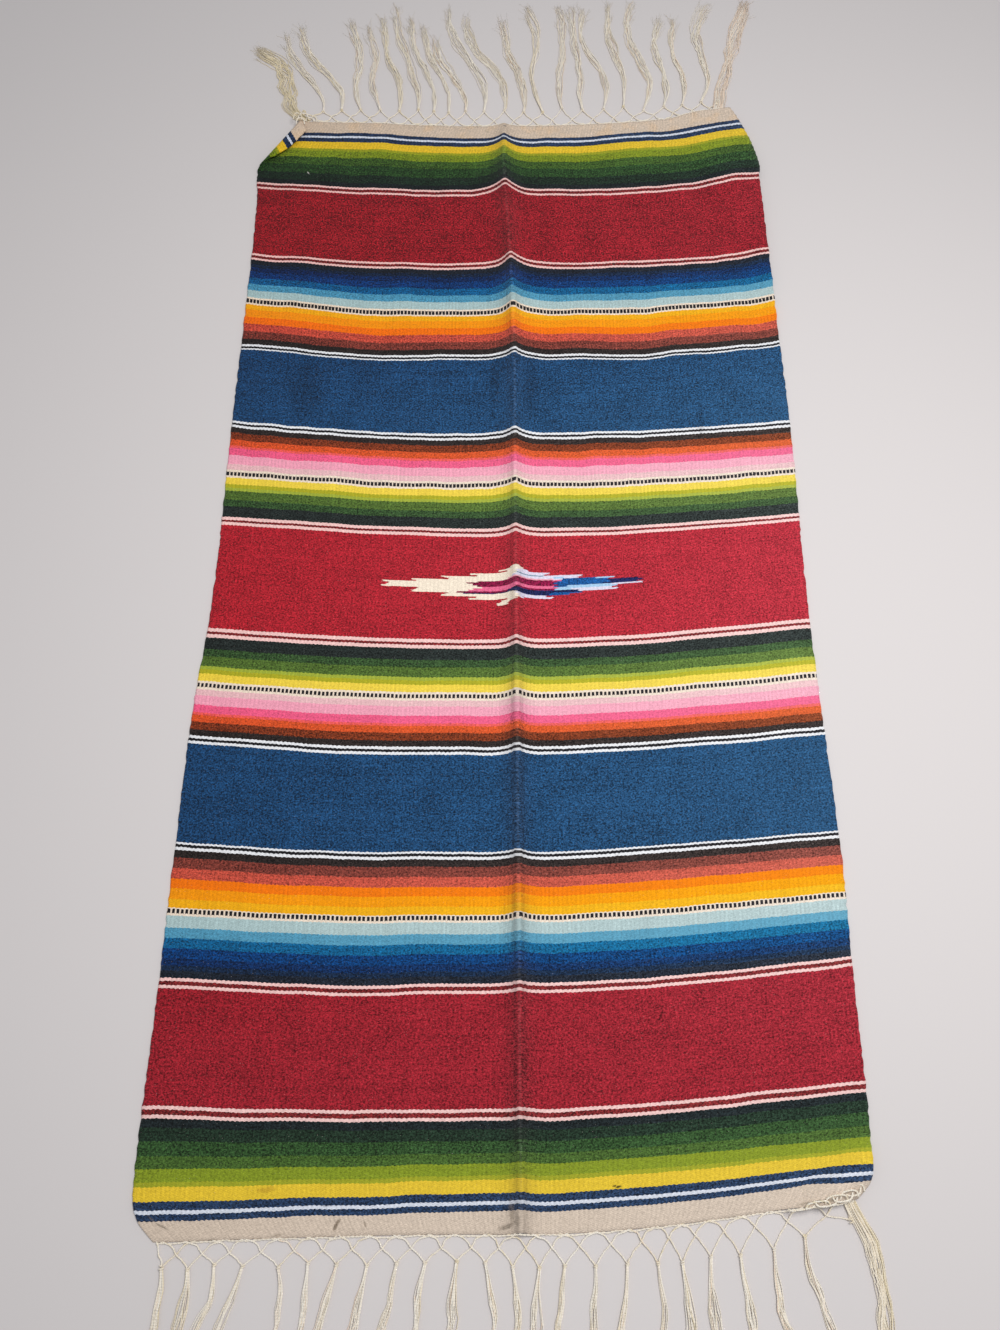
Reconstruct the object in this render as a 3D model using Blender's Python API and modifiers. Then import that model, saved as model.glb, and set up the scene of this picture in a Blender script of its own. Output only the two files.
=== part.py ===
"""A Mexican serape laid out flat: one woven web with its folds, and a knotted warp fringe at each end.

Metres, +X across the web, +Y along it to its far end, and the floor it lies on at z = 0.
"""

import math

import bmesh
import bpy
from mathutils import Vector

# Driving sizes
WALL = 0.0022
WEB_NEAR = -0.690
WEB_FAR = 0.685
SEAM_GAP = 0.0003
SHIFT = Vector((0.005, -0.002, 0.0))  # brings the middle of the whole to x = 0, y = 0

# The selvedges wander and draw in a little at the ends. A station is y at mid width.
SELVEDGES = (
    # station, left_x, right_x
    (-0.690, -0.341, 0.331),
    (-0.677, -0.356, 0.343),
    (-0.659, -0.365, 0.349),
    (-0.609, -0.366, 0.352),
    (-0.509, -0.363, 0.352),
    (-0.349, -0.360, 0.354),
    (-0.179, -0.356, 0.350),
    (-0.049, -0.346, 0.348),
    (0.171, -0.344, 0.351),
    (0.351, -0.341, 0.348),
    (0.531, -0.3395, 0.345),
    (0.610, -0.343, 0.3447),
    (0.650, -0.333, 0.3443),
    (0.685, -0.314, 0.344),
)

# How far the weft lines bow towards the far end, left to right.
BOW = (
    # station, left, left_mid, right_mid, right
    (-0.690, -0.007, -0.002, 0.009, 0.031),
    (-0.582, 0.003, -0.001, 0.008, 0.026),
    (-0.471, 0.005, -0.002, 0.007, 0.026),
    (-0.326, 0.010, 0.000, 0.007, 0.020),
    (-0.219, 0.014, 0.001, 0.006, 0.021),
    (-0.082, 0.017, 0.003, 0.005, 0.022),
    (0.091, 0.021, 0.005, 0.004, 0.017),
    (0.296, 0.019, 0.003, 0.003, 0.020),
    (0.452, 0.021, 0.003, 0.001, 0.017),
    (0.566, 0.018, 0.004, 0.002, 0.024),
    (0.685, 0.016, 0.006, 0.004, 0.025),
)
BOW_LEVEL = 0.13  # share of the half width, each side of the middle, that has no bow

# The lengthwise fold mark stands up as a narrow ridge with hollow flanks. It is highest in the far half,
# where it also strays to the left. A decay is the distance from its tip over which a flank drops to a third.
CREASE = (
    # station, x, height, left_decay, right_decay
    (-0.690, 0.010, 0.0070, 0.0095, 0.0095),
    (-0.300, 0.010, 0.0090, 0.0095, 0.0095),
    (0.050, 0.010, 0.0095, 0.0100, 0.0120),
    (0.180, 0.010, 0.0120, 0.0130, 0.0130),
    (0.310, 0.010, 0.0155, 0.0150, 0.0165),
    (0.450, 0.006, 0.0185, 0.0130, 0.0180),
    (0.570, -0.001, 0.0165, 0.0160, 0.0180),
    (0.640, -0.002, 0.0120, 0.0135, 0.0140),
    (0.677, -0.002, 0.0035, 0.0105, 0.0105),
    (0.685, -0.002, 0.0033, 0.0105, 0.0105),
)
CREASE_REACH = 2.9  # in decays
CREASE_TIP = 0.0015
CREASE_KINK = 0.003

# The wrinkle that lifts the near right corner
HUMP = {"x": 0.312, "y": -0.652, "heading": 33.0, "length": 0.042, "width": 0.011, "height": 0.012}

# Corners turned about a line from the selvedge to the end. Over lies on the face, under lies below it.
# The line bulges outward between its ends.
FOLDS = (
    # selvedge_x, selvedge_y, end_x, end_y, radius, turn_degrees, over, bulge
    (-0.3400, 0.6080, -0.2835, 0.6950, 0.0050, 190.0, True, 0.0),
    (0.3455, 0.588, 0.3080, 0.714, 0.0026, 180.0, False, 0.007),
)
BULGE_REACH = 0.070
UNDER_FLAT = 0.034  # how far in from an under fold the web stays lifted off the turned corner
UNDER_END = 0.090  # where the web is back on the floor

# Grid lines across the web: by distance from the crease's tip, and elsewhere in shares of the half width
CREASE_LINES = (0.002, 0.005, 0.010, 0.018, 0.030, 0.050)
LEFT_LINES = (-1.0, -0.88, -0.74, -0.60, -0.46, -0.33, -0.21)
RIGHT_LINES = (0.21, 0.33, 0.46, 0.60, 0.72, 0.79, 0.85, 0.90, 0.95, 1.0)
ROW_STEP = 0.055
NEAR_ROWS = (0.0, 0.003, 0.014, 0.028, 0.042, 0.060)  # distances from the near end
FAR_ROWS = (0.0, 0.003, 0.015, 0.030, 0.045, 0.060, 0.075, 0.090, 0.110)  # and from the far end
FOLD_CUTS = 9
WELD = 0.0001

# Fringe
STRIP_WIDTH = 0.003
CROSS_REACH = 0.011
LEG_RADIUS = 0.0012
LOCK_RADIUS = 0.0015
KNOT_RADIUS = 0.0030
BUNDLE_SHARE = 1.35  # a corner bundle's knot against the others
KNOT_LENGTH = 0.007
KNOT_SECTIONS = ((-0.5, 0.45), (-0.2, 1.0), (0.3, 1.0), (0.6, 0.5))  # share of the length, share of the radius
KNOT_LEAN = 0.15  # how much a knot turns towards its tassel's lean
LOCK_SPREAD = 0.0034
BUNDLE_SPREAD = 0.0028
LEAN_POWER = 1.25  # a tassel leans more the further it gets from its knot
ROOT_DEPTH = 0.55  # share of the strip's width, and of the wall, at which the legs start
ROOT_HEIGHT = 0.62
CROSS_HEIGHT = 0.75
LEG_NUDGE = 0.0007
LEG_SAG = 0.001
FLOOR_CLEAR = 0.0006
LOCK_POINTS = 5
LOCK_GATHER = 0.30  # share of the spread that the locks have at their knot
LOCK_OPEN = 0.30  # share of the length by which they have all of it
LOCK_DROP = 0.20  # share of the length by which they are down on the floor
LOCK_TAPER = 0.45  # how much of its radius a lock loses by its tip
LOCK_TAPER_FROM = 0.7
LEG_INSET = 0.003
FAR_STRIP = (-0.272, 0.300)
NEAR_STRIP = (-0.338, 0.327)
FAR_FRINGE = (
    # knot_x, knot_reach, tip_shift, tip_reach, sway, locks
    (-0.285, 0.016, -0.070, 0.145, 0.004, 4),
    (-0.258, 0.025, -0.062, 0.170, 0.006, 2),
    (-0.232, 0.028, -0.066, 0.187, 0.008, 2),
    (-0.205, 0.030, -0.020, 0.198, -0.006, 2),
    (-0.177, 0.031, -0.026, 0.191, -0.004, 2),
    (-0.150, 0.030, -0.028, 0.211, 0.004, 2),
    (-0.123, 0.033, -0.036, 0.231, 0.004, 2),
    (-0.101, 0.031, -0.038, 0.214, 0.006, 2),
    (-0.080, 0.030, -0.040, 0.199, 0.004, 2),
    (-0.056, 0.033, -0.044, 0.171, 0.004, 2),
    (-0.030, 0.033, -0.052, 0.233, 0.008, 2),
    (-0.001, 0.035, -0.056, 0.216, 0.010, 2),
    (0.026, 0.032, -0.028, 0.208, 0.006, 2),
    (0.053, 0.030, -0.020, 0.234, -0.007, 2),
    (0.080, 0.037, 0.001, 0.233, -0.006, 2),
    (0.109, 0.033, -0.013, 0.231, -0.002, 2),
    (0.139, 0.033, -0.024, 0.227, 0.009, 2),
    (0.167, 0.035, -0.014, 0.234, 0.004, 2),
    (0.195, 0.025, -0.004, 0.236, 0.009, 2),
    (0.224, 0.029, 0.000, 0.197, 0.006, 2),
    (0.250, 0.028, -0.004, 0.193, 0.008, 2),
    (0.277, 0.029, 0.018, 0.217, 0.010, 2),
    (0.300, 0.020, 0.054, 0.219, 0.003, 4),
)
NEAR_FRINGE = (
    # knot_x, knot_reach, tip_shift, tip_reach, sway, locks
    (-0.331, 0.022, -0.042, 0.214, 0.006, 3),
    (-0.306, 0.026, -0.058, 0.226, 0.006, 2),
    (-0.281, 0.023, -0.064, 0.209, 0.005, 2),
    (-0.254, 0.025, -0.066, 0.223, -0.004, 2),
    (-0.220, 0.027, -0.036, 0.216, 0.010, 2),
    (-0.192, 0.024, -0.034, 0.231, 0.002, 2),
    (-0.165, 0.026, -0.046, 0.219, -0.004, 2),
    (-0.136, 0.027, -0.048, 0.227, -0.003, 2),
    (-0.108, 0.026, -0.046, 0.212, -0.003, 2),
    (-0.081, 0.026, -0.040, 0.224, -0.004, 2),
    (-0.051, 0.025, -0.024, 0.233, -0.003, 2),
    (-0.024, 0.026, -0.006, 0.217, 0.007, 2),
    (0.002, 0.029, 0.000, 0.228, 0.005, 2),
    (0.027, 0.030, -0.004, 0.211, -0.003, 2),
    (0.051, 0.029, -0.010, 0.222, -0.004, 2),
    (0.080, 0.031, -0.020, 0.230, 0.002, 2),
    (0.110, 0.031, -0.027, 0.214, 0.000, 2),
    (0.139, 0.033, -0.010, 0.226, 0.002, 2),
    (0.162, 0.035, 0.014, 0.219, 0.002, 2),
    (0.189, 0.033, 0.016, 0.232, -0.003, 2),
    (0.217, 0.035, 0.026, 0.224, 0.000, 2),
    (0.249, 0.034, 0.036, 0.213, -0.003, 2),
    (0.279, 0.028, 0.052, 0.221, -0.003, 2),
    (0.318, 0.018, 0.042, 0.205, -0.004, 4),
)


def along(table, column, at):
    """A table's column at a station, on a smooth curve through the rows."""
    rows = len(table)
    at = min(max(at, table[0][0]), table[-1][0])
    low = max(i for i in range(rows - 1) if table[i][0] <= at)

    def slope(i):
        before, after = table[max(i - 1, 0)], table[min(i + 1, rows - 1)]
        return (after[column] - before[column]) / (after[0] - before[0])

    start, end = table[low], table[low + 1]
    span = end[0] - start[0]
    t = (at - start[0]) / span
    return (
        (2 * t**3 - 3 * t**2 + 1) * start[column]
        + (t**3 - 2 * t**2 + t) * span * slope(low)
        + (3 * t**2 - 2 * t**3) * end[column]
        + (t**3 - t**2) * span * slope(low + 1)
    )


def smooth(low, high, value):
    """0 below low, 1 above high, and an even slope between."""
    t = min(max((value - low) / (high - low), 0.0), 1.0)
    return t * t * (3 - 2 * t)


def bow(across, station):
    """How far a weft line has slid towards the far end."""
    left, left_mid, right_mid, right = (along(BOW, column, station) for column in (1, 2, 3, 4))
    line = (
        (-1.0, left),
        (-0.5, left_mid),
        (-BOW_LEVEL, 0.0),
        (BOW_LEVEL, 0.0),
        (0.5, right_mid),
        (1.0, right),
    )
    return along(line, 1, across)


def crease(x, station):
    """Share of the ridge's height at x: 1 on its tip and 0 past its reach."""
    away = x - along(CREASE, 1, station)
    decay = along(CREASE, 3 if away < 0 else 4, station)
    down = (math.hypot(away, CREASE_TIP) - CREASE_TIP) / decay
    tail = math.exp(-CREASE_REACH)
    return max(0.0, (math.exp(-down) - tail) / (1 - tail))


def hump(x, y):
    """Height of the corner wrinkle, a ridge that fades out along and across its heading."""
    heading = math.radians(HUMP["heading"])
    dx, dy = x - HUMP["x"], y - HUMP["y"]
    far = (dx * math.cos(heading) + dy * math.sin(heading)) / HUMP["length"]
    side = (dy * math.cos(heading) - dx * math.sin(heading)) / HUMP["width"]
    fade = max(0.0, 1 - (far / 2) ** 2) ** 2 * max(0.0, 1 - (side / 2) ** 2) ** 2
    return HUMP["height"] * fade


def fold_frame(row):
    """Where a fold line starts, its run to the web's end, and the level way out past it to the corner."""
    start = Vector((row[0], row[1], 0.0))
    run = Vector((row[2], row[3], 0.0)) - start
    outward = Vector((run.y, -run.x, 0.0)).normalized()
    if outward.dot(start) < 0:
        outward = -outward
    return start, run, outward


def lift(point):
    """How high an under fold holds the web above the floor."""
    height = 0.0
    for row in FOLDS:
        radius, over = row[4], row[6]
        if over:
            continue
        start, _, outward = fold_frame(row)
        inside = (start - point).dot(outward)
        height += (2 * radius + WALL) * (1 - smooth(UNDER_FLAT, UNDER_END, inside))
    return height


def fold(point):
    """The point after its corner has been rolled about the fold line."""
    for row in FOLDS:
        radius, turn, over, bulge = row[4:]
        start, run, outward = fold_frame(row)
        past = (point - start).dot(outward)
        share = (point - start).dot(run) / run.length_squared
        swell = bulge * max(0.0, 1 - (2 * share - 1) ** 2) * smooth(-BULGE_REACH, 0.0, past)
        point = point + outward * swell
        if past <= 0:
            continue
        angle = min(past / radius, math.radians(turn))
        straight = past - angle * radius
        way = 1 if over else -1
        reach = radius * math.sin(angle) + straight * math.cos(angle) - past
        rise = radius * (1 - math.cos(angle)) + straight * math.sin(angle)
        point = point + outward * reach + Vector((0, 0, way * rise))
    return point


def level_place(across, station):
    """Level place of a point of the weave before any fold: across is -1 to 1 between selvedges."""
    left = along(SELVEDGES, 1, station)
    right = along(SELVEDGES, 2, station)
    x = left + (right - left) * (across + 1) / 2
    return Vector((x, station + bow(across, station) + CREASE_KINK * crease(x, station), 0.0))


def lay(across, station):
    """Where the web's underside lies, from its place in the weave."""
    flat = level_place(across, station)
    z = along(CREASE, 2, station) * crease(flat.x, station) + hump(flat.x, flat.y) + lift(flat)
    return fold(flat + Vector((0, 0, z))) + SHIFT


def across_at(x, station):
    """The share of the half width that has this x, before the shift."""
    left = along(SELVEDGES, 1, station)
    right = along(SELVEDGES, 2, station)
    return (x - left) / (right - left) * 2 - 1


def material(name, colour, roughness):
    made = bpy.data.materials.new(name)
    made.use_nodes = True
    shader = made.node_tree.nodes["Principled BSDF"]
    shader.inputs["Base Color"].default_value = (*colour, 1.0)
    shader.inputs["Roughness"].default_value = roughness
    shader.inputs["Metallic"].default_value = 0.0
    return made


def add_object(name, data, home, look=None):
    made = bpy.data.objects.new(name, data)
    home.objects.link(made)
    if look:
        made.data.materials.append(look)
    return made


def grid_lines(station):
    """Grid lines across the web at a station, with the crease's own lines on both sides of its tip."""
    tip = along(CREASE, 1, station)
    beside = (*(-away for away in reversed(CREASE_LINES)), 0.0, *CREASE_LINES)
    return (*LEFT_LINES, *(across_at(tip + away, station) for away in beside), *RIGHT_LINES)


def row_stations():
    """Stations along the web, close together at the ends."""
    near = [WEB_NEAR + distance for distance in NEAR_ROWS]
    far = [WEB_FAR - distance for distance in reversed(FAR_ROWS)]
    count = round((far[0] - near[-1]) / ROW_STEP)
    middle = [near[-1] + (far[0] - near[-1]) * i / count for i in range(1, count)]
    return near + middle + far


def pattern_grid(columns, rows):
    """A flat grid in the weave's own coordinates: each row is a station and has its own places across."""
    grid = bmesh.new()
    steps = len(columns[0]) - 1
    bmesh.ops.create_grid(grid, x_segments=steps, y_segments=len(rows) - 1, size=1.0)
    for vert in grid.verts:
        column = round((vert.co.x + 1) / 2 * steps)
        row = round((vert.co.y + 1) / 2 * (len(rows) - 1))
        vert.co = Vector((columns[row][column], rows[row], 0.0))
    return grid


def wall(name, grid, place, home, look):
    """A closed wall that stands on the surface place() makes of the grid."""
    for vert in grid.verts:
        vert.co = place(vert)
    mesh = bpy.data.meshes.new(name)
    grid.to_mesh(mesh)
    grid.free()
    made = add_object(name, mesh, home, look)
    solid = made.modifiers.new("Wall", "SOLIDIFY")
    solid.thickness = WALL
    solid.offset = 1.0
    return made


def woven_web(home):
    rows = row_stations()
    grid = pattern_grid([grid_lines(station) for station in rows], rows)
    weave = grid.verts.layers.float_vector.new("weave")
    for vert in grid.verts:
        vert[weave] = vert.co
        vert.co = level_place(vert.co.x, vert.co.y)
    for row in FOLDS:
        start, _, outward = fold_frame(row)
        arc = row[4] * math.radians(row[5])
        for cut in range(FOLD_CUTS + 1):
            everything = grid.verts[:] + grid.edges[:] + grid.faces[:]
            at = start + outward * (arc * cut / FOLD_CUTS)
            bmesh.ops.bisect_plane(grid, geom=everything, plane_co=at, plane_no=outward, dist=WELD)
    look = material("woven_cotton_and_wool", (0.32, 0.03, 0.04), 0.9)
    return wall("woven_web", grid, lambda vert: lay(vert[weave].x, vert[weave].y), home, look)


def locks_of(row, side, edge):
    """Paths of one tassel: its knot and the loose locks below it, as (points, radii)."""
    knot_x, knot_reach, tip_shift, tip_reach, sway, locks = row
    knot = Vector((knot_x, edge + side * knot_reach, 0.0))
    paths = []
    body = KNOT_RADIUS * (1.0 if locks == 2 else BUNDLE_SHARE)
    knot_z = body + FLOOR_CLEAR
    away = Vector((tip_shift * KNOT_LEAN, side, 0.0)).normalized()
    sections = [knot + away * KNOT_LENGTH * share + Vector((0, 0, knot_z)) for share, _ in KNOT_SECTIONS]
    paths.append((sections, [body * share for _, share in KNOT_SECTIONS]))
    lane = LOCK_SPREAD if locks == 2 else BUNDLE_SPREAD
    for lock in range(locks):
        beside = (lock - (locks - 1) / 2) * 2 * lane
        points = []
        for step in range(LOCK_POINTS):
            t = step / (LOCK_POINTS - 1)
            spread = beside * (LOCK_GATHER + (1 - LOCK_GATHER) * smooth(0.0, LOCK_OPEN, t))
            x = knot_x + spread + tip_shift * t**LEAN_POWER + sway * math.sin(2 * math.pi * t)
            y = edge + side * (knot_reach + (tip_reach - knot_reach) * t - abs(beside) * t)
            low = FLOOR_CLEAR + LOCK_RADIUS
            z = low + (knot_z - low) * (1 - smooth(0.0, LOCK_DROP, t))
            points.append(Vector((x, y, z)))
        tapers = [LOCK_TAPER * smooth(LOCK_TAPER_FROM, 1.0, i / (LOCK_POINTS - 1)) for i in range(LOCK_POINTS)]
        paths.append((points, [LOCK_RADIUS * (1.0 - taper) for taper in tapers]))
    return paths


def legs_of(table, side, station, first, last):
    """Paths of the crossed warp ends between the strip and the knots."""
    paths = []
    crossings = [(left[0] + right[0]) / 2 for left, right in zip(table, table[1:])]
    feet = [first, *crossings, last]
    for index, foot in enumerate(feet):
        base = lay(across_at(foot, station), station + side * (SEAM_GAP + STRIP_WIDTH * ROOT_DEPTH)) - SHIFT
        cross = Vector((foot, base.y + side * CROSS_REACH, 0.0))
        base.z += WALL * ROOT_HEIGHT
        cross.z = max(LEG_RADIUS + FLOOR_CLEAR, base.z * CROSS_HEIGHT)
        for row in table[max(index - 1, 0) : index + 1]:
            level = edge_at(row[0], station)
            knot = Vector((row[0], level + side * (row[1] - LEG_SAG), KNOT_RADIUS + FLOOR_CLEAR))
            nudge = Vector((LEG_NUDGE if row[0] > foot else -LEG_NUDGE, 0.0, 0.0))
            bend = cross.lerp(knot, 0.5) + Vector((nudge.x * 2, -side * LEG_SAG, 0.0))
            paths.append(([base + nudge, cross + nudge, bend, knot], [LEG_RADIUS] * 4))
    return paths


def edge_at(x, station):
    """y of the web's end at x, before the shift."""
    return station + bow(across_at(x, station), station)


def tubes(name, paths, home):
    """Four-sided tubes along the paths, as one mesh object with welded caps."""
    curve = bpy.data.curves.new(name, "CURVE")
    curve.dimensions = "3D"
    curve.twist_mode = "Z_UP"
    curve.bevel_depth = 1.0
    curve.bevel_resolution = 0
    curve.use_fill_caps = True
    for points, radii in paths:
        spline = curve.splines.new("POLY")
        spline.points.add(len(points) - 1)
        for knot, point, radius in zip(spline.points, points, radii):
            knot.co = (*(point + SHIFT), 1.0)
            knot.radius = radius
    holder = add_object(name + "_curve", curve, home)
    bpy.context.view_layer.update()
    evaluated = holder.evaluated_get(bpy.context.evaluated_depsgraph_get())
    mesh = bpy.data.meshes.new_from_object(evaluated)
    welded = bmesh.new()
    welded.from_mesh(mesh)
    bmesh.ops.remove_doubles(welded, verts=welded.verts, dist=WELD / 100)
    welded.to_mesh(mesh)
    welded.free()
    made = add_object(name, mesh, home)
    made.matrix_world = holder.matrix_world
    bpy.data.objects.remove(holder)
    return made


def fringe(name, table, ends, side, station, home, cutters, look):
    """A narrow strip along the web's end with the knotted warp ends fused into it."""
    first, last = ends
    left, right = across_at(first, station), across_at(last, station)
    columns = [left, *(line for line in grid_lines(station) if left < line < right), right]
    rows = sorted((station + side * SEAM_GAP, station + side * (SEAM_GAP + STRIP_WIDTH)))
    strip = wall(
        name,
        pattern_grid([columns] * len(rows), rows),
        lambda vert: lay(vert.co.x, vert.co.y),
        home,
        look,
    )
    paths = legs_of(table, side, station, first + LEG_INSET, last - LEG_INSET)
    for row in table:
        paths += locks_of(row, side, edge_at(row[0], station))
    strands = tubes(name + "_strands", paths, cutters)
    strands.hide_render = True
    strands.display_type = "WIRE"
    join = strip.modifiers.new("Strands", "BOOLEAN")
    join.operation = "UNION"
    join.object = strands
    join.use_self = True
    return strip


def main():
    for thing in list(bpy.data.objects):
        bpy.data.objects.remove(thing)
    home = bpy.data.collections.new("mexican_serape")
    cutters = bpy.data.collections.new("cutters")
    bpy.context.scene.collection.children.link(home)
    bpy.context.scene.collection.children.link(cutters)
    woven_web(home)
    cotton = material("cream_cotton_far", (0.78, 0.68, 0.54), 0.85)
    fringe("fringe_far", FAR_FRINGE, FAR_STRIP, 1, WEB_FAR, home, cutters, cotton)
    cotton = material("cream_cotton_near", (0.78, 0.68, 0.54), 0.85)
    fringe("fringe_near", NEAR_FRINGE, NEAR_STRIP, -1, WEB_NEAR, home, cutters, cotton)
    for thing in cutters.objects:
        thing.hide_set(True)


main()
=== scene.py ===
import math
from functools import partialmethod

import bpy
import numpy as np
from mathutils import Matrix, Vector


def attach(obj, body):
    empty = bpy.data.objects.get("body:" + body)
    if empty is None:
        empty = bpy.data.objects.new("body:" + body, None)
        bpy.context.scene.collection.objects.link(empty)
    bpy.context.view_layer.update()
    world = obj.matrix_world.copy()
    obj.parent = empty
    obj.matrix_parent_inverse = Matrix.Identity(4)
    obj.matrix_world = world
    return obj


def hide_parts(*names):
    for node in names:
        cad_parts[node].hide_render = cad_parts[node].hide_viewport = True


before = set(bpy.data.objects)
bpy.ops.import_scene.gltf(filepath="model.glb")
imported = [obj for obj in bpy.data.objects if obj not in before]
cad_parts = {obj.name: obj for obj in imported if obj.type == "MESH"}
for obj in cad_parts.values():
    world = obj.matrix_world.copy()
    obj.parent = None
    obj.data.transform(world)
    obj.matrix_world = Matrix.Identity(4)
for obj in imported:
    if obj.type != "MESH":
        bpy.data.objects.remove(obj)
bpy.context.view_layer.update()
draw = np.random.default_rng(41)
print("frame loaded")

# The camera looks down on the cloth from above its near half
camera = {
    "place": (0.01116, -0.49327, 1.08),
    "heading": -2.3226,
    "pitch": 70.793,  # degrees below the horizon
    "roll": -2.5805,
    "lens": 27.068,
    "sensor": 36.0,
    "near": 0.01,
}


def addObject(name, data):
    made = bpy.data.objects.new(name, data)
    bpy.context.scene.collection.objects.link(made)
    return made


def addCamera(spec):
    lens = bpy.data.cameras.new("camera")
    lens.sensor_fit = "VERTICAL"
    lens.sensor_height = spec["sensor"]
    lens.lens = spec["lens"]
    lens.clip_start = spec["near"]
    holder = addObject("camera", lens)
    turn = Matrix.Translation(Vector(spec["place"]))
    for degrees, axis in ((-spec["heading"], "Z"), (90 - spec["pitch"], "X"), (spec["roll"], "Z")):
        turn = turn @ Matrix.Rotation(math.radians(degrees), 4, axis)
    holder.matrix_world = turn
    bpy.context.scene.camera = holder


addCamera(camera)

# How the cloth lies, in metres except where a table is in mm. A station is a place along its mid line.
cloth = {
    "wall": 0.0022,
    "near": -0.690,
    "far": 0.685,
    "shift": (0.005, -0.002, 0.0),
    "halfWidth": 0.35,
    "levelShare": 0.13,
    "selvedges": (
        # mm: station, left x, right x
        (-690, -341, 331),
        (-677, -356, 343),
        (-659, -365, 349),
        (-609, -366, 352),
        (-509, -363, 352),
        (-349, -360, 354),
        (-179, -356, 350),
        (-49, -346, 348),
        (171, -344, 351),
        (351, -341, 348),
        (531, -339.5, 345),
        (610, -343, 344.7),
        (650, -333, 344.3),
        (685, -314, 344),
    ),
    "bow": (
        # mm: station, left, left mid, right mid, right
        (-690, -7, -2, 9, 31),
        (-582, 3, -1, 8, 26),
        (-471, 5, -2, 7, 26),
        (-326, 10, 0, 7, 20),
        (-219, 14, 1, 6, 21),
        (-82, 17, 3, 5, 22),
        (91, 21, 5, 4, 17),
        (296, 19, 3, 3, 20),
        (452, 21, 3, 1, 17),
        (566, 18, 4, 2, 24),
        (685, 16, 6, 4, 25),
    ),
    "crease": (
        # mm: station, x, height, left decay, right decay
        (-690, 10, 7, 9.5, 9.5),
        (-300, 10, 9, 9.5, 9.5),
        (50, 10, 9.5, 10, 12),
        (180, 10, 12, 13, 13),
        (310, 10, 15.5, 15, 16.5),
        (450, 6, 18.5, 13, 18),
        (570, -1, 16.5, 16, 18),
        (640, -2, 12, 13.5, 14),
        (677, -2, 3.5, 10.5, 10.5),
        (685, -2, 3.3, 10.5, 10.5),
    ),
    "creaseReach": 2.9,  # in decays
    "creaseTip": 0.0015,
    "creaseKink": 0.003,
    "hump": (312, -652, 42, 11, 12, 33),  # a row like those of the waves
    "folds": (
        # selvedge x, selvedge y, end x, end y, radius, turn in degrees, over the face, bulge
        (-0.3400, 0.6080, -0.2835, 0.6950, 0.0050, 190.0, True, 0.0),
        (0.3455, 0.588, 0.3080, 0.714, 0.0026, 180.0, False, 0.007),
    ),
    "bulgeReach": 0.070,
    "underFlat": 0.034,
    "underEnd": 0.090,
    "waves": (
        # mm: x, y, half length, half width, height, then the heading in degrees
        (-170, 560, 210, 30, 1.2, 97),
        (150, 520, 240, 34, 1.4, 84),
        (235, 330, 180, 26, 0.9, 88),
        (-260, -655, 110, 16, 1.6, 8),
        (-120, -250, 260, 40, 0.9, 92),
        (190, -180, 280, 42, 1, 86),
        (-235, 90, 220, 34, 1, 95),
        (130, -560, 150, 28, 1, 80),
    ),
}
shift = np.array(cloth["shift"])


def curveThrough(places, values, at):
    # a smooth curve through the rows, flat past the ends
    places = np.asarray(places, float)
    values = np.asarray(values, float)
    if values.ndim == 1:
        values = np.repeat(values[:, None], len(at), axis=1)
    last = len(places) - 1
    rows = np.arange(last + 1)
    before, after = np.maximum(rows - 1, 0), np.minimum(rows + 1, last)
    slopes = (values[after] - values[before]) / (places[after] - places[before])[:, None]
    at = np.clip(at, places[0], places[-1])
    low = np.clip(np.searchsorted(places, at, side="right") - 1, 0, last - 1)
    span = places[low + 1] - places[low]
    t = (at - places[low]) / span
    each = np.arange(len(at))
    return (
        (2 * t**3 - 3 * t**2 + 1) * values[low, each]
        + (t**3 - 2 * t**2 + t) * span * slopes[low, each]
        + (3 * t**2 - 2 * t**3) * values[low + 1, each]
        + (t**3 - t**2) * span * slopes[low + 1, each]
    )


def column(table, index, at):
    # one column of a table in mm, read at any station
    return curveThrough([row[0] / 1000 for row in table], [row[index] / 1000 for row in table], at)


def ease(low, high, value):
    t = np.clip((value - low) / (high - low), 0.0, 1.0)
    return t * t * (3 - 2 * t)


def unit(vectors):
    return vectors / np.maximum(np.linalg.norm(vectors, axis=-1, keepdims=True), 1e-9)


def lengthAlong(paths):
    steps = np.linalg.norm(np.diff(paths, axis=-2), axis=-1)
    return np.concatenate((np.zeros_like(steps[..., :1]), np.cumsum(steps, axis=-1)), axis=-1)


def bowOf(across, station):
    sides = [column(cloth["bow"], index, station) for index in (1, 2, 3, 4)]
    level = np.zeros_like(station)
    places = (-1.0, -0.5, -cloth["levelShare"], cloth["levelShare"], 0.5, 1.0)
    return curveThrough(places, [sides[0], sides[1], level, level, sides[2], sides[3]], across)


def crease(index, station):
    return column(cloth["crease"], index, station)


def creaseShare(x, station):
    # share of the ridge's height: 1 on its tip, 0 past its reach
    away = x - crease(1, station)
    decay = np.where(away < 0, crease(3, station), crease(4, station))
    down = (np.hypot(away, cloth["creaseTip"]) - cloth["creaseTip"]) / decay
    tail = math.exp(-cloth["creaseReach"])
    return np.maximum(0.0, (np.exp(-down) - tail) / (1 - tail))


def ridge(x, y, row):
    # a soft ridge that fades out along and across its heading
    middleX, middleY, length, width, height = (value / 1000 for value in row[:5])
    heading = math.radians(row[5])
    dx, dy = x - middleX, y - middleY
    along = (dx * math.cos(heading) + dy * math.sin(heading)) / length
    beside = (dy * math.cos(heading) - dx * math.sin(heading)) / width
    fade = np.maximum(0.0, 1 - (along / 2) ** 2) * np.maximum(0.0, 1 - (beside / 2) ** 2)
    return height * fade**2


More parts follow.
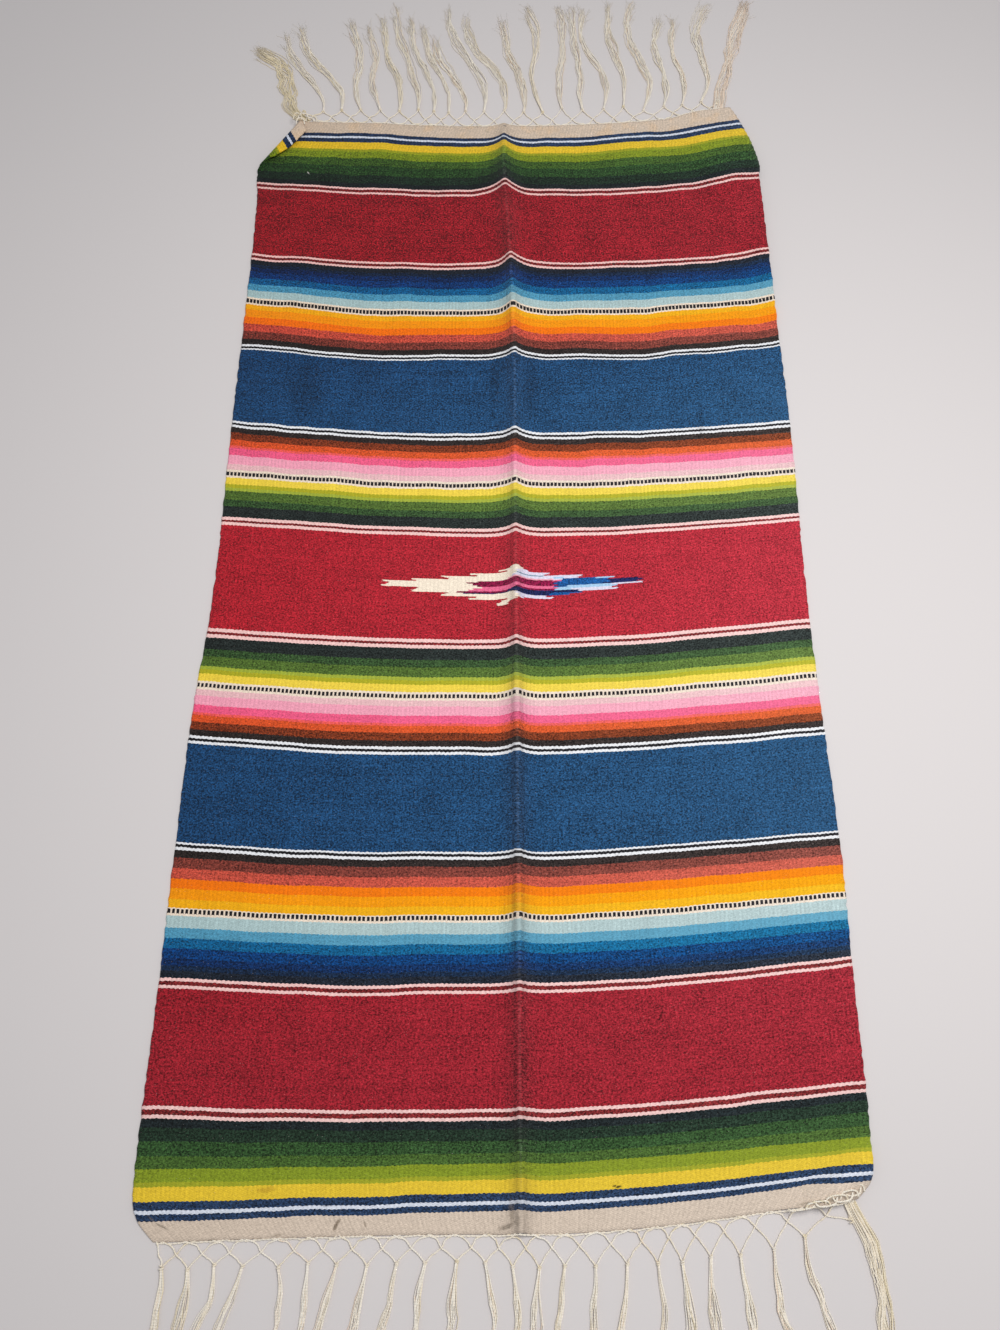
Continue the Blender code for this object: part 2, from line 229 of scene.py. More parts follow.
def foldFrame(row):
    start = np.array((row[0], row[1]))
    run = np.array((row[2], row[3])) - start
    outward = np.array((run[1], -run[0])) / np.hypot(*run)
    return start, run, outward if outward @ start > 0 else -outward


def selvedgesAt(station):
    return column(cloth["selvedges"], 1, station), column(cloth["selvedges"], 2, station)


def xOf(across, station):
    left, right = selvedgesAt(station)
    return left + (right - left) * (across + 1) / 2


def acrossAt(x, station):
    left, right = selvedgesAt(station)
    return (x - left) / (right - left) * 2 - 1


def lay(across, station):
    # the underside of the cloth, from its place in the weave
    x = xOf(across, station)
    share = creaseShare(x, station)
    y = station + bowOf(across, station) + cloth["creaseKink"] * share
    z = crease(2, station) * share
    for row in (cloth["hump"], *cloth["waves"]):
        z += ridge(x, y, row)
    for row in cloth["folds"]:
        if not row[6]:
            start, _, outward = foldFrame(row)
            inside = (start[0] - x) * outward[0] + (start[1] - y) * outward[1]
            z += (2 * row[4] + cloth["wall"]) * (1 - ease(cloth["underFlat"], cloth["underEnd"], inside))
    for row in cloth["folds"]:
        radius, degrees, over, bulge = row[4:]
        start, run, outward = foldFrame(row)
        past = (x - start[0]) * outward[0] + (y - start[1]) * outward[1]
        share = ((x - start[0]) * run[0] + (y - start[1]) * run[1]) / (run @ run)
        swell = bulge * np.maximum(0.0, 1 - (2 * share - 1) ** 2) * ease(-cloth["bulgeReach"], 0.0, past)
        beyond = np.maximum(past, 0.0)
        angle = np.minimum(beyond / radius, math.radians(degrees))
        straight = beyond - angle * radius
        reach = radius * np.sin(angle) + straight * np.cos(angle) - beyond + swell
        rise = radius * (1 - np.cos(angle)) + straight * np.sin(angle)
        x, y, z = x + outward[0] * reach, y + outward[1] * reach, z + (rise if over else -rise)
    return np.stack((x, y, z), axis=-1) + shift


def smoothNoise(u, v, size, seed):
    # even noise from -1 to 1 whose lumps are about one size across
    lattice = np.random.default_rng(seed).uniform(-1, 1, (256, 256))
    u, v = u / size + 64, v / size + 64
    column0, row0 = np.floor(u).astype(int), np.floor(v).astype(int)
    fu, fv = u - column0, v - row0
    fu, fv = fu * fu * (3 - 2 * fu), fv * fv * (3 - 2 * fv)
    rows = []
    for step in (0, 1):
        left, right = (lattice[(row0 + step) % 256, (column0 + beside) % 256] for beside in (0, 1))
        rows.append(left * (1 - fu) + right * fu)
    return rows[0] * (1 - fv) + rows[1] * fv


def quadsBetween(first, second):
    # faces between two arrays of point numbers that lie side by side
    return np.stack((first[:, :-1], first[:, 1:], second[:, 1:], second[:, :-1]), axis=-1).reshape(-1, 4)


def addMesh(name, points, faces, attributes, look):
    mesh = bpy.data.meshes.new(name)
    mesh.from_pydata([tuple(p) for p in np.asarray(points).tolist()], [], faces)
    for label, values in attributes.items():
        layer = mesh.attributes.new(label, "FLOAT_VECTOR", "POINT")
        layer.data.foreach_set("vector", np.asarray(values, np.float32).ravel())
    mesh.shade_smooth()
    mesh.materials.append(look)
    mesh.validate()
    return addObject(name, mesh)


# Shader helpers
class treeWiring:
    # adds nodes to one tree, linked as they are made
    def __init__(self, tree):
        self.tree = tree

    def feed(self, socket, value):
        if isinstance(value, bpy.types.NodeSocket):
            self.tree.links.new(value, socket)
        else:
            socket.default_value = value

    def put(self, kind, inputs, **settings):
        node = self.tree.nodes.new("ShaderNode" + kind)
        for key, value in settings.items():
            setattr(node, key, value)
        for key, value in inputs.items():
            self.feed(node.inputs[key], value)
        return node

    def calc(self, operation, *values, clamp=False):
        return self.put("Math", dict(enumerate(values)), operation=operation, use_clamp=clamp).outputs[0]

    plus = partialmethod(calc, "ADD")
    minus = partialmethod(calc, "SUBTRACT")
    times = partialmethod(calc, "MULTIPLY")
    timesPlus = partialmethod(calc, "MULTIPLY_ADD")
    above = partialmethod(calc, "GREATER_THAN")
    absolute = partialmethod(calc, "ABSOLUTE")

    def stretch(self, vector, factors):
        return self.put("VectorMath", {0: vector, 1: factors}, operation="MULTIPLY").outputs[0]

    def scale(self, vector, factor):
        return self.put("VectorMath", {0: vector, "Scale": factor}, operation="SCALE").outputs[0]

    def attribute(self, name):
        return self.put("Attribute", {}, attribute_name=name).outputs["Vector"]

    def parts(self, vector):
        return tuple(self.put("SeparateXYZ", {0: vector}).outputs)

    def mixColour(self, share, low, high):
        return self.put("Mix", {0: share, 6: low, 7: high}, data_type="RGBA").outputs[2]

    def mixValue(self, share, low, high):
        return self.put("Mix", {0: share, 2: low, 3: high}, data_type="FLOAT").outputs[0]

    def noise(self, vector, scale, detail=2.0, roughness=0.5):
        spec = {"Vector": vector, "Scale": scale, "Detail": detail, "Roughness": roughness}
        return self.put("TexNoise", spec).outputs["Fac"]

    def uneven(self, *spec):
        return self.minus(self.noise(*spec), 0.5)

    def remap(self, value, low, high, toLow=0.0, toHigh=1.0):
        spec = {"Value": value, "From Min": low, "From Max": high, "To Min": toLow, "To Max": toHigh}
        return self.put("MapRange", spec, interpolation_type="SMOOTHSTEP").outputs["Result"]

    def between(self, value, low, high, soft):
        up = self.remap(value, low - soft, low + soft)
        return self.times(up, self.remap(value, high - soft, high + soft, 1.0, 0.0))

    def ramp(self, share, rows, interpolation="CONSTANT"):
        node = self.put("ValToRGB", {"Fac": share})
        node.color_ramp.interpolation = interpolation
        stops = node.color_ramp.elements
        for index, (at, colour) in enumerate(rows):
            stop = stops[index] if index < 2 else stops.new(at)
            stop.position = at
            stop.color = colour
        return node.outputs["Color"]

    def bump(self, shader, height, distance, strength):
        node = self.put("Bump", {"Height": height, "Distance": distance, "Strength": strength})
        self.feed(shader.inputs["Normal"], node.outputs["Normal"])


def linear(colour):
    shares = [c / 255 for c in colour]
    return (*(c / 12.92 if c <= 0.04045 else ((c + 0.055) / 1.055) ** 2.4 for c in shares), 1.0)


def newLook(name, values):
    look = bpy.data.materials.new(name)
    look.use_nodes = True
    shader = look.node_tree.nodes["Principled BSDF"]
    for label, value in values.items():
        shader.inputs[label].default_value = value
    return look, treeWiring(look.node_tree), shader


# Dyes in display colours
dyes = {
    "red": (178, 38, 51), "pinkWhite": (251, 208, 202), "darkRed": (128, 40, 42),
    "blackGreen": (40, 47, 45), "darkGreen": (57, 84, 47), "green": (88, 114, 50),
    "limeLight": (170, 182, 66), "olive": (182, 178, 42), "yellow": (246, 216, 78),
    "cream": (246, 228, 208), "palestPink": (240, 194, 196), "lightPink": (249, 170, 190),
    "hotPink": (245, 101, 141), "coral": (242, 98, 94), "orangeRed": (222, 90, 44),
    "darkBrown": (128, 57, 30), "black": (48, 40, 38), "white": (240, 240, 242), "dark": (34, 32, 36),
    "blue": (31, 72, 111), "brown": (131, 64, 54), "salmon": (203, 88, 70), "deepOrange": (250, 128, 6),
    "amber": (252, 160, 4), "golden": (249, 182, 22), "paleBlue": (182, 204, 204), "sky": (92, 160, 189),
    "teal": (18, 103, 149), "deepBlue": (10, 64, 118), "nightBlue": (16, 50, 96), "navy": (25, 45, 72),
    "blackBlue": (33, 40, 52), "endRed": (157, 34, 46), "endBlack": (30, 38, 40),
    "endBlackGreen": (34, 53, 39), "endDarkGreen": (50, 80, 42), "endGreen": (73, 102, 44),
    "endLime": (138, 154, 40), "endOlive": (168, 171, 44), "endYellow": (238, 202, 57),
    "endNavy": (42, 62, 92), "endWhite": (224, 228, 238), "endCream": (222, 203, 184),
    "ivory": (252, 236, 214), "plum": (132, 18, 62), "pink": (236, 110, 148), "rose": (244, 170, 184),
    "lilac": (226, 220, 238), "ice": (168, 206, 236), "azure": (24, 84, 150), "indigo": (26, 34, 82),
    "mist": (104, 142, 160),
}

# The stripes from the middle of the motif outward, the same both ways: dye, outer edge in mm
stripes = (
    (
        ("red", 65.75), ("pinkWhite", 69.1), ("darkRed", 72.7), ("pinkWhite", 76.5), ("blackGreen", 90.5),
        ("darkGreen", 100.4), ("green", 112.1), ("limeLight", 116.5), ("olive", 121.1), ("yellow", 130.8),
        ("cream", 140.7), ("palestPink", 148.0), ("lightPink", 158.9), ("hotPink", 168.3),
        ("coral", 171.1), ("orangeRed", 179.6), ("darkBrown", 188.1), ("black", 195.9), ("white", 199.0),
        ("dark", 202.1), ("white", 204.7), ("blue", 260.0),
    ),
    (
        ("blue", 311.8), ("white", 314.4), ("dark", 317.6), ("white", 320.2), ("black", 328.9),
        ("brown", 339.9), ("salmon", 351.2), ("deepOrange", 360.6), ("amber", 372.0), ("golden", 381.2),
        ("cream", 389.5), ("paleBlue", 401.3), ("sky", 412.2), ("teal", 422.0), ("deepBlue", 432.3),
        ("nightBlue", 439.0), ("navy", 444.6), ("blackBlue", 451.2), ("pinkWhite", 454.4),
        ("darkRed", 458.8), ("pinkWhite", 461.9), ("endRed", 520.0),
    ),
    (
        ("endRed", 572.5), ("pinkWhite", 576.2), ("darkRed", 580.3), ("pinkWhite", 584.0),
        ("endBlack", 591.5), ("endBlackGreen", 603.4), ("endDarkGreen", 616.4), ("endGreen", 627.2),
        ("endLime", 638.0), ("endOlive", 642.3), ("endYellow", 654.2), ("endNavy", 661.0),
        ("endWhite", 664.1), ("endNavy", 669.9), ("endCream", 720.0),
    ),
)

weave = {
    "warpPitch": 4.6,  # mm, one dash and its gap
    "pick": 0.9,
    "dashes": ((133.7, 138.5, False), (383, 387.8, False), (382.6, 388.4, True)),  # from, to, far half only
    "farCream": (380.2, 390.8),
    "softEdge": 0.25,
    "dashGap": (-0.60, -0.22),
    "dashRagged": 1.4,
    "farGap": 0.25,  # the dashes are shorter in the far half
    "wander": 9.0,
    "tooth": 0.26,
    "raggedEdge": 1.5,
    "middle": -0.01715,
    "mottle": (1.0, 1.5),  # near half and far end
    "streaks": (0.26, 0.09),
    "fuzz": 0.8,
    # painted shade, darker towards the far end
    "farEndShade": (1.0, 1.15),
    "lean": (-0.05, -0.11),  # painted shade, darker at the left selvedge and lighter at the right: near end and beyond it
    "surface": {"Specular IOR Level": 0.12, "Sheen Weight": 0.07, "Sheen Roughness": 0.6},
    "roughness": (0.82, 0.96),
    "relief": (0.00035, 0.75),  # distance, strength
    "slides": (
        # distance from the middle in mm, then how far that weft has slid towards the far end,
        # at the left selvedge, half way, in the middle, half way and at the right selvedge
        (-700, 14, 14, 16, 17, 17), (-630, 12, 13.5, 16, 16, 11),
        (-596, 10, 10, 10, 10, 10), (-456, 8, 7, 7, 7, 7), (-394, 7, 7, 6, 6, 6),
        (-322, 4, 3, 2, 2, 3), (-190, 2, 2, 1, 1, 1), (-78, -2, -1, -2, -1, -1),
        (0, 0, 1, -1, 2, 3), (78, -4, -2, -3, -4, -4), (130, -4, -4, -3, -5, -4),
        (199, 3, 0, 1, -1, -3), (322, 2, 0, 0, -3, -4), (394, 5, 2, 0, 0, -2),
        (456, 4, 4, 4, 3, 0), (596, 7, 5, 6, 3, 0), (630, 12, 13, 9, 10, 4),
        (700, 14, 14, 9, 12, 7),
    ),
}

# The stepped diamond, charted in mm from the top step down
motif = {
    "middle": 3.0,
    "reach": 160.0,
    "ragged": (2.6, 1.4),  # across and along
    "jog": 9.0,  # of each pick's turn
    "top": 21.9,
    "rows": (
        # bottom edge, left end, then each field's right end and dye
        (20.4, 0, (8, "ivory")),
        (18.6, -16, (12, "ivory")),
        (16.8, -4, (9, "ivory"), (18, "lilac")),
        (14.8, -49, (6, "ivory"), (44, "lilac")),
        (12.8, -42, (5, "ivory"), (38, "lilac")),
        (11.6, -84, (4, "ivory"), (36, "mist"), (83, "lilac")),
        (10.6, -80, (4, "ivory"), (83, "lilac")),
        (8.4, -76, (2, "ivory"), (50, "lilac"), (62, "ice"), (78, "lilac")),
        (6.6, -119, (-4, "ivory"), (50, "rose"), (60, "lilac"), (100, "azure"), (121, "ice")),
        (5, -113, (-40, "ivory"), (48, "plum"), (58, "pink"), (114, "azure")),
        (3.2, -154, (-54, "ivory"), (54, "plum"), (112, "azure"), (150, "indigo")),
        (1, -147, (-47, "ivory"), (50, "plum"), (116, "azure"), (155, "indigo")),
        (-0.8, -149, (-40, "ivory"), (54, "plum"), (108, "azure"), (150, "indigo")),
        (-2.6, -156, (-36, "ivory"), (50, "pink"), (66, "azure"), (118, "ice"), (154, "lilac")),
        (-4.4, -112, (-46, "ivory"), (54, "pink"), (124, "ice")),
        (-6.4, -114, (-52, "ivory"), (4, "pink"), (52, "plum"), (70, "ice"), (118, "lilac")),
        (-8.4, -119, (-66, "ivory"), (-4, "plum"), (78, "indigo"), (124, "lilac")),
        (-9.6, -76, (-58, "ivory"), (82, "indigo")),
        (-10.8, -78, (0, "ivory"), (46, "indigo"), (83, "azure")),
        (-12.8, -84, (4, "ivory"), (44, "indigo"), (68, "azure")),
        (-14.8, -42, (5, "ivory"), (41, "lilac")),
        (-16.8, -50, (7, "ivory"), (48, "lilac")),
        (-18.8, -4, (9, "ivory"), (13, "lilac")),
        (-21.4, -12, (6, "ivory")),
        (-24.6, -17, (-3, "ivory")),
    ),
}

# wear and stains, with the painted shade of the fold's flanks and of the soft shade marks
wearAndShade = {
    "flankShadeAndDirt": (0.34, 0.12),  # painted shade and some dirt in the fold's flanks, at the near half and at the far half
    "flankShadeAndDirtColour": (0.02, 0.015, 0.015, 1.0),
    "rubbed": 0.022,
    "rubbedColour": (0.80, 0.72, 0.66, 1.0),
    "blotch": (232, 196, 156),
    "blotchShare": 0.45,
    "ragged": 1.6,
    "fade": (0.4, 1.3),  # of a mark, in its own half sizes
}

# Stains, slubs, and painted soft shade and shadow: across and station in mm, half length, half width,
# heading, strength, colour
marks = (
    (-163, -681, 7, 1.5, 38, 0.7, (104, 84, 62)),
    (-135, -681, 2.6, 1.4, 78, 0.5, (110, 92, 72)),
    (-330, -678, 5, 1.3, -35, 0.55, (104, 92, 76)),
    (-336, -672, 3, 1.3, -50, 0.45, (104, 92, 76)),
    (-292, -690, 4, 1.2, 10, 0.35, (120, 104, 84)),
    (-225, -688, 5, 1.2, 8, 0.35, (128, 110, 86)),
    (9, -672, 3, 11, 0, 0.4, (120, 104, 84)),
    (2, -684, 8, 2.4, 14, 0.55, (104, 90, 74)),
    (14, -680, 2.4, 6, 0, 0.35, (112, 98, 82)),
    (-223, -650, 9, 2.4, 6, 0.4, (176, 128, 40)),
    (-165, -664, 6, 1.2, 4, 0.45, (22, 26, 40)),
    (-207, -526, 2.2, 1.3, 0, 0.75, (70, 14, 18)),
    (-201, -543, 1.5, 1.5, 0, 0.6, (70, 14, 18)),
    (-156, -537, 4, 1, 4, 0.7, (66, 14, 18)),
    (-27, -545, 1.8, 1.6, 0, 0.7, (66, 14, 18)),
    (155, -500, 6, 1.2, 70, 0.6, (66, 14, 18)),
    (110, -653, 3.2, 1.3, 6, 0.85, (18, 22, 26)),
    (106, -652, 2, 1, 20, 0.75, (18, 22, 26)),
    (-278, 594, 3, 0.8, -55, 0.75, (214, 206, 200)),
    (-15, 680, 2.4, 2, 0, 0.5, (70, 76, 84)),
    (-40, 676, 6, 2, -30, 0.25, (150, 136, 104)),
    # painted shade of soft wrinkles and of the fold's flanks in the blue and red bands
    (-262, 244, 46, 25, 88, 0.3, (10, 26, 44)),
    (27, 250, 50, 12, 88, 0.34, (10, 22, 38)),
    (-19, 250, 46, 9, 90, 0.26, (10, 22, 38)),
    (240, 206, 30, 5, 86, 0.3, (10, 24, 40)),
    (-104, 545, 34, 10, 60, 0.16, (60, 10, 18)),
    (20, 545, 30, 9, 88, 0.22, (50, 8, 14)),
    # painted shadow in the gathered near-right corner
    (314, -686, 14, 2.4, 6, 0.55, (112, 104, 88)),
    (327, -682, 9, 2, 30, 0.45, (112, 104, 90)),
    (300, -687, 12, 1.4, 4, 0.45, (140, 128, 108)),
)


# Mottled dye, shared by the wool and the cotton
heather = {
    "noises": (
        # stretch across and along, scale, detail, roughness, strength
        ((0.30, 1.1, 1.0), 1.0, 3.0, 0.65, 2.0),  # picks
        (None, 0.50, 3.0, 0.75, 4.0),  # grain
        (None, 0.03, 3.0, 0.6, 0.50),  # clouds
        (None, 0.17, 2.0, 0.6, 0.8),  # patches
        ((0.004, 0.28, 1.0), 1.0, 2.0, 0.6, 0.40),  # lots of yarn
    ),
    "darkest": 0.25,
    "stray": (0.85, 0.72, 0.66, 1.0),
    "strayShare": 0.30,
}


def makeSpeckle():
    # uneven dye and stray fibres, from a place in mm
    group = bpy.data.node_groups.new("yarnSpeckle", "ShaderNodeTree")
    for label, kind, value in (
        ("Colour", "Color", (0.5, 0.5, 0.5, 1.0)),
        ("Place", "Vector", (0.0, 0.0, 0.0)),
        ("Amount", "Float", 1.0),
    ):
        socket = group.interface.new_socket(label, in_out="INPUT", socket_type="NodeSocket" + kind)
        socket.default_value = value
    group.interface.new_socket("Colour", in_out="OUTPUT", socket_type="NodeSocketColor")
    given, out = group.nodes.new("NodeGroupInput").outputs, group.nodes.new("NodeGroupOutput").inputs
    n = treeWiring(group)
    total = 0.0
    for factors, scale, detail, roughness, strength in heather["noises"]:
        vector = n.stretch(given["Place"], factors) if factors else given["Place"]
        total = n.timesPlus(n.uneven(vector, scale, detail, roughness), strength, total)

    # deep dyes show their mottling more
    bright = n.put("RGBToBW", {"Color": given["Colour"]}).outputs["Val"]
    amount = n.times(n.remap(bright, 0.055, 0.38, 1.25, 0.26), n.remap(bright, 0.062, 0.085, 1.4, 1.0))
    level = n.timesPlus(total, n.times(amount, given["Amount"]), 1.0)
    mottled = n.scale(given["Colour"], n.calc("MAXIMUM", level, heather["darkest"]))
    stray = n.remap(n.noise(given["Place"], 0.8, 1.0), 0.70, 0.80, 0.0, heather["strayShare"])
    n.feed(out["Colour"], n.mixColour(stray, mottled, heather["stray"]))
    return group


def mottle(n, speckle, colour, place, amount):
    node = n.put("Group", {}, node_tree=speckle)
    for label, value in (("Colour", colour), ("Place", place), ("Amount", amount)):
        n.feed(node.inputs[label], value)
    return node.outputs["Colour"]


def stripeColour(n, distance):
    # one stepped ramp for each group, since a ramp holds 32 stops
    colour, start = None, 0.0
    for group in stripes:
        end = group[-1][1]
        share = n.calc("DIVIDE", n.minus(distance, start), end - start, clamp=True)
        lows = (start, *(high for _, high in group))
        stops = [((low - start) / (end - start), linear(dyes[dye])) for low, (dye, _) in zip(lows, group)]
        shade = n.ramp(share, stops)
        colour = n.mixColour(n.above(distance, start), colour, shade) if start else shade
        start = end
    return colour


def addDashes(n, colour, distance, farSide, teeth, loose):
    # picks of two colours taken in turn
    low, high = weave["farCream"]
    share = n.times(n.between(distance, low, high, weave["softEdge"]), farSide)
    colour = n.mixColour(share, colour, linear(dyes["cream"]))
    ticks = n.timesPlus(farSide, weave["farGap"], n.timesPlus(loose, weave["dashRagged"], teeth))
    dash = n.remap(ticks, *weave["dashGap"])
    for low, high, farOnly in weave["dashes"]:
        shown = n.times(dash, farSide) if farOnly else dash
        share = n.times(n.between(distance, low, high, weave["softEdge"]), shown)
        colour = n.mixColour(share, colour, linear(dyes["dark"]))
    return colour


def addMotif(n, colour, level, across, mirrored, loose):
    # the stepped diamond, row by row: each row gives the number of its dye
    chart = sorted({dye for row in motif["rows"] for _, dye in row[2:]})
    reach, slots = motif["reach"], 16
    picks = n.uneven(n.stretch(level, (0.03, 1.1, 0.0)), 1.0, 1.0)
    atX = n.minus(across, motif["middle"])
    atX = n.plus(atX, n.timesPlus(loose, motif["ragged"][0], n.times(picks, motif["jog"])))
    atY = n.plus(mirrored, n.times(loose, motif["ragged"][1]))
    share = n.calc("DIVIDE", n.plus(atX, reach), 2 * reach, clamp=True)
    number = 0.0
    for bottom, left, *fields in reversed(motif["rows"]):
        starts = (-reach, left, *(right for right, _ in fields))
        shown = (0, *(chart.index(dye) + 1 for _, dye in fields), 0)
        rows = [((at + reach) / (2 * reach), (*[one / slots] * 3, 1.0)) for at, one in zip(starts, shown)]
        number = n.mixValue(n.above(atY, bottom), number, n.ramp(share, rows))
    number = n.mixValue(n.above(atY, motif["top"]), number, 0.0)
    rows = [((index + 0.5) / slots, linear(dyes[dye])) for index, dye in enumerate(chart)]
    shown = n.above(number, 0.5 / slots)
    return n.mixColour(shown, colour, n.ramp(number, [(0.0, (0.0, 0.0, 0.0, 1.0)), *rows]))


def addStainsAndShade(n, colour, across, station, loose):
    ragged = n.times(loose, wearAndShade["ragged"])
    # stains and slubs, and the painted shade and shadow marks
    for atAcross, atStation, length, width, degrees, strength, dye in marks:
        turn = math.radians(degrees)
        ax, ay = n.minus(across, atAcross), n.minus(station, atStation)
        along = n.plus(n.times(ax, math.cos(turn) / length), n.times(ay, math.sin(turn) / length))
        beside = n.minus(n.times(ay, math.cos(turn) / width), n.times(ax, math.sin(turn) / width))
        far = n.calc("SQRT", n.plus(n.times(along, along), n.times(beside, beside)))
        share = n.remap(n.plus(far, ragged), *wearAndShade["fade"], strength, 0.0)
        colour = n.mixColour(share, colour, linear(dye))
    return colour


def addCrease(n, colour, station, loose):
    # the fold's tip is rubbed pale, and its flanks are darkened with painted shade and some dirt
    away = n.absolute(n.parts(n.attribute("relief"))[0])
    away = n.timesPlus(away, 1000.0, n.times(loose, 0.8))
    # painted shade in the fold's flanks, mixed with some dirt
    flankShadeAndDirt = n.times(n.remap(away, 0.6, 2.2), n.remap(away, 2.0, 9.0, 0.5, 0.0))
    flankShadeAndDirt = n.plus(flankShadeAndDirt, n.remap(away, 2.0, 26.0, 0.5, 0.0))
    flankShadeAndDirt = n.times(flankShadeAndDirt, n.remap(station, -150.0, 150.0, *wearAndShade["flankShadeAndDirt"]))
    colour = n.mixColour(flankShadeAndDirt, colour, wearAndShade["flankShadeAndDirtColour"])
    return n.mixColour(n.remap(away, 0.2, 1.1, wearAndShade["rubbed"], 0.0), colour, wearAndShade["rubbedColour"])


def makeWoolLook(speckle):
    look, n, shader = newLook("wovenWool", weave["surface"])
    across, mirrored, station = n.parts(n.scale(n.attribute("loom"), 1000.0))
    level = n.put("CombineXYZ", {0: across, 1: station, 2: 0.0}).outputs[0]
    warpTurn = n.times(across, 2 * math.pi / weave["warpPitch"])
    farSide = n.above(mirrored, 0.0)

    # weft edges step over and under the warp and wander a little
    teeth = n.calc("SINE", warpTurn)
    loose = n.uneven(level, 0.24)
    drift = n.uneven(n.stretch(level, (0.013, 0.005, 0.0)), 1.0, 2.0, 0.6)
    reach = n.times(n.remap(n.absolute(mirrored), 50.0, 150.0, 0.3, 1.0), weave["wander"])
    reach = n.times(reach, n.remap(station, -200.0, 100.0, 0.5, 1.0))
    ragged = n.timesPlus(teeth, weave["tooth"], n.times(loose, weave["raggedEdge"]))
    edge = n.timesPlus(drift, reach, ragged)
    distance = n.plus(n.absolute(mirrored), edge)

    colour = stripeColour(n, distance)
    colour = addDashes(n, colour, distance, farSide, teeth, loose)
    colour = addMotif(n, colour, level, across, mirrored, loose)

    # painted shade and light: darker towards the far end and the left selvedge, lighter towards the right
    # selvedge
    farEndShade = n.remap(mirrored, 200.0, 440.0, *weave["farEndShade"])
    lean = n.times(across, n.remap(mirrored, -560.0, -420.0, *(share / 350 for share in weave["lean"])))
    colour = n.put("Gamma", {"Color": colour, "Gamma": n.plus(farEndShade, lean)}).outputs["Color"]

    # the bare far end is blotched
    blotch = n.remap(n.noise(level, 0.035), 0.48, 0.66, 0.0, wearAndShade["blotchShare"])
    blotch = n.times(blotch, n.times(farSide, n.above(distance, stripes[-1][-2][1])))
    colour = n.mixColour(blotch, colour, linear(wearAndShade["blotch"]))
    colour = addStainsAndShade(n, colour, across, station, loose)

    # some warps show paler than others
    streak = n.noise(n.stretch(level, (0.42, 0.006, 0.0)), 1.0)
    lift = n.timesPlus(n.minus(streak, 0.5), weave["streaks"][0], 1.0)
    colour = n.scale(colour, n.timesPlus(teeth, n.times(streak, weave["streaks"][1]), lift))
    colour = addCrease(n, colour, station, loose)
    colour = mottle(n, speckle, colour, level, n.remap(station, 0.0, 600.0, *weave["mottle"]))
    n.feed(shader.inputs["Base Color"], colour)

    # beads of weft, one pick over and the next under each warp
    pick = n.calc("DIVIDE", station, weave["pick"])
    parity = n.times(n.calc("FLOOR", pick), math.pi)
    bead = n.remap(n.calc("SINE", n.plus(warpTurn, parity)), -0.6, 1.0)
    hump = n.calc("SINE", n.times(n.calc("FRACT", pick), math.pi))
    height = n.times(bead, n.calc("SQRT", n.calc("MAXIMUM", hump, 0.0)))
    fuzz = n.noise(level, 1.7, 3.0, 0.7)
    n.bump(shader, n.timesPlus(fuzz, weave["fuzz"], height), *weave["relief"])
    n.feed(shader.inputs["Roughness"], n.remap(fuzz, 0.2, 0.8, *weave["roughness"]))
    return look


cotton = {
    # share of the yarns, shade
    "shades": (
        (0.0, (240, 224, 186)),
        (0.2, (246, 232, 206)),
        (0.5, (252, 242, 226)),
        (0.8, (253, 246, 234)),
        (1.0, (247, 224, 202)),
    ),
    "mottle": 0.25,
    "plyTurn": 2600.0,  # per metre
    # painted shade in the grooves between the plies
    "plyGrooveShade": 0.94,
    "surface": {"Specular IOR Level": 0.2, "Sheen Weight": 0.10},
    "roughness": (0.80, 0.95),
    "relief": (0.0002, 0.45),
}


def makeCottonLook(speckle):
    look, n, shader = newLook("warpCotton", cotton["surface"])
    length, around, chance = n.parts(n.attribute("strand"))
    tone = n.ramp(chance, [(at, linear(shade)) for at, shade in cotton["shades"]], "LINEAR")
    place = n.scale(n.put("TexCoord", {}).outputs["Object"], 1000.0)
    tone = mottle(n, speckle, tone, place, cotton["mottle"])
    # painted shade: the grooves between the plies are darkened
    ply = n.calc("SINE", n.timesPlus(length, cotton["plyTurn"], n.times(around, 2.0)))
    n.feed(shader.inputs["Base Color"], n.scale(tone, n.remap(ply, -1.0, -0.2, cotton["plyGrooveShade"], 1.0)))
    n.bump(shader, ply, *cotton["relief"])
    n.feed(shader.inputs["Roughness"], n.remap(n.noise(place, 0.5), 0.2, 0.8, *cotton["roughness"]))
    return look


speckle = makeSpeckle()
woolLook = makeWoolLook(speckle)
cottonLook = makeCottonLook(speckle)
print("materials made")


# The woven cloth
webGrid = {
    "creaseLines": (0.0006, 0.0014, 0.0025, 0.004, 0.006, 0.0085, 0.012, 0.016, 0.021, 0.027, 0.035, 0.045),
    "leftZone": (-0.82, 22),
    "leftCount": 32,
    "rightCount": 30,
    "rightZone": (0.81, 26),
    "nearRows": (0.060, 18),
    "middleRows": 246,
    "farRows": (0.130, 52),
    "cockle": 0.00025,
    "scallop": 0.0007,
    "rimBulge": 0.0006,
}


def mirrorPlace(across, station):
    # signed distance from the motif's middle as woven, with the slides taken out, in metres
    table = np.array(weave["slides"]) / 1000
    places = table[:, 0]
    woven = [np.interp(station, weave["middle"] + places + slide, places) for slide in table[:, 1:].T]
    return curveThrough((-1.0, -0.5, 0.0, 0.5, 1.0), woven, across)


